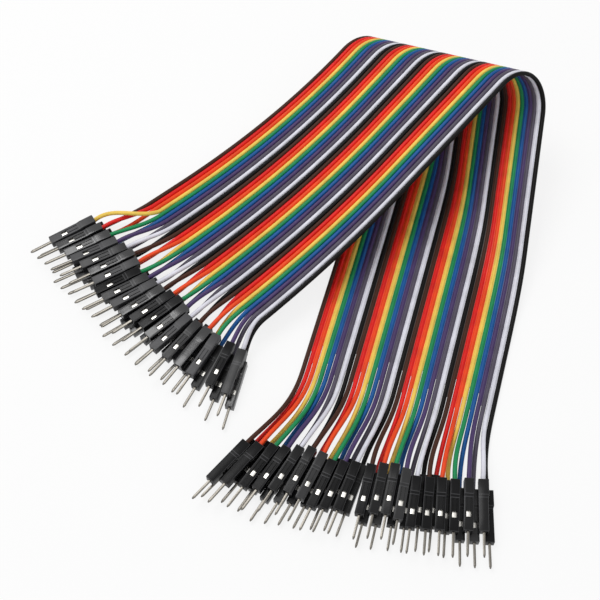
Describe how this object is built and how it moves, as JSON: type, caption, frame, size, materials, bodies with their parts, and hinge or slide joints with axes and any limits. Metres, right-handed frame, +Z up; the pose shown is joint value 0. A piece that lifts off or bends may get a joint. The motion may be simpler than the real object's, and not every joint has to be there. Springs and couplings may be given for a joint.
{
  "type": "breadboard jumper wire set",
  "caption": "Rainbow ribbon of bonded jumper wires, folded over once, its free ends fanned out, with a single-way pin housing on both ends of every wire.",
  "frame": {"origin": "on the table, under the centre of the folded set's bounding box", "axes": "+Z up from the table; +Y along the length of the folded set, away from the viewer; +X to the right, as the picture shows it"},
  "size_m": [0.1486, 0.1655, 0.034],
  "materials": {
    "brown_wire": "satin brown PVC insulation",
    "red_wire": "satin red PVC insulation",
    "orange_wire": "satin orange PVC insulation",
    "yellow_wire": "satin yellow PVC insulation",
    "green_wire": "satin green PVC insulation",
    "blue_wire": "satin blue PVC insulation",
    "violet_wire": "satin violet PVC insulation",
    "grey_wire": "satin grey PVC insulation",
    "white_wire": "satin white PVC insulation",
    "black_wire": "satin black PVC insulation",
    "black_nylon": "satin moulded black nylon"
  },
  "bodies": {
    "root": {"wire_01_brown": "brown_wire", "wire_02_red": "red_wire", "wire_03_orange": "orange_wire", "wire_04_yellow": "yellow_wire", "wire_05_green": "green_wire", "wire_06_blue": "blue_wire", "wire_07_violet": "violet_wire", "wire_08_grey": "grey_wire", "wire_09_white": "white_wire", "wire_10_black": "black_wire", "wire_11_brown": "brown_wire", "wire_12_red": "red_wire", "wire_13_orange": "orange_wire", "wire_14_yellow": "yellow_wire", "wire_15_green": "green_wire", "wire_16_blue": "blue_wire", "wire_17_violet": "violet_wire", "wire_18_grey": "grey_wire", "wire_19_white": "white_wire", "wire_20_black": "black_wire", "wire_21_brown": "brown_wire", "wire_22_red": "red_wire", "wire_23_orange": "orange_wire", "wire_24_yellow": "yellow_wire", "wire_25_green": "green_wire", "wire_26_blue": "blue_wire", "wire_27_violet": "violet_wire", "wire_28_grey": "grey_wire", "wire_29_white": "white_wire", "wire_30_black": "black_wire", "wire_31_brown": "brown_wire", "wire_32_red": "red_wire", "wire_33_orange": "orange_wire", "wire_34_yellow": "yellow_wire", "wire_35_green": "green_wire", "wire_36_blue": "blue_wire", "wire_37_violet": "violet_wire", "wire_38_grey": "grey_wire", "wire_39_white": "white_wire", "wire_40_black": "black_wire", "housing_31_lower": "black_nylon", "housing_31_upper": "black_nylon", "housing_32_lower": "black_nylon", "housing_32_upper": "black_nylon", "housing_33_lower": "black_nylon", "housing_33_upper": "black_nylon", "housing_34_lower": "black_nylon", "housing_34_upper": "black_nylon", "housing_35_lower": "black_nylon", "housing_35_upper": "black_nylon", "housing_36_lower": "black_nylon", "housing_36_upper": "black_nylon", "housing_37_lower": "black_nylon", "housing_37_upper": "black_nylon", "housing_38_lower": "black_nylon", "housing_38_upper": "black_nylon", "housing_39_lower": "black_nylon", "housing_39_upper": "black_nylon", "housing_40_lower": "black_nylon", "housing_40_upper": "black_nylon"}
  },
  "joints": []
}
